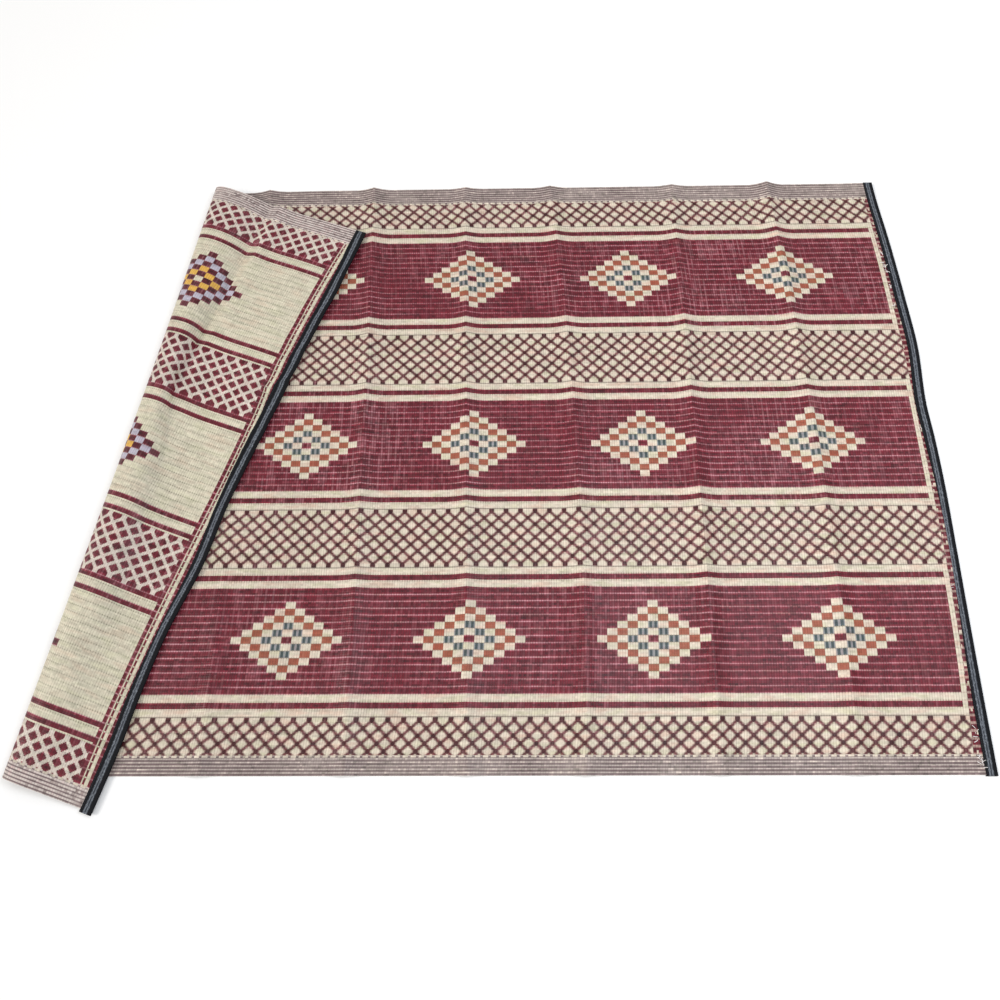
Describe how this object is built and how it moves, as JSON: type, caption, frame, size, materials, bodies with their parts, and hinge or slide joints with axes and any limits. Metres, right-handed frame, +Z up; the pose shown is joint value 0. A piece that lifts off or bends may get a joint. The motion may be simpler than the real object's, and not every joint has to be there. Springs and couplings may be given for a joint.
{
  "type": "woven plastic mat",
  "caption": "Flat rectangular woven mat lying open with one end folded over at a slant, its ends bound with a folded tape.",
  "frame": {"origin": "the middle of the lying mat's outer box, at the floor", "axes": "+X along the mat from its folded end to its open end, +Y towards its far long edge, +Z up"},
  "size_m": [1.6703, 1.2823, 0.0401],
  "materials": {
    "woven_straw": "extruded plastic straw with a soft sheen",
    "binding_tape": "woven tape, dull"
  },
  "bodies": {
    "root": {"mat_sheet": "woven_straw", "binding_left": "binding_tape", "binding_right": "binding_tape"}
  },
  "joints": []
}
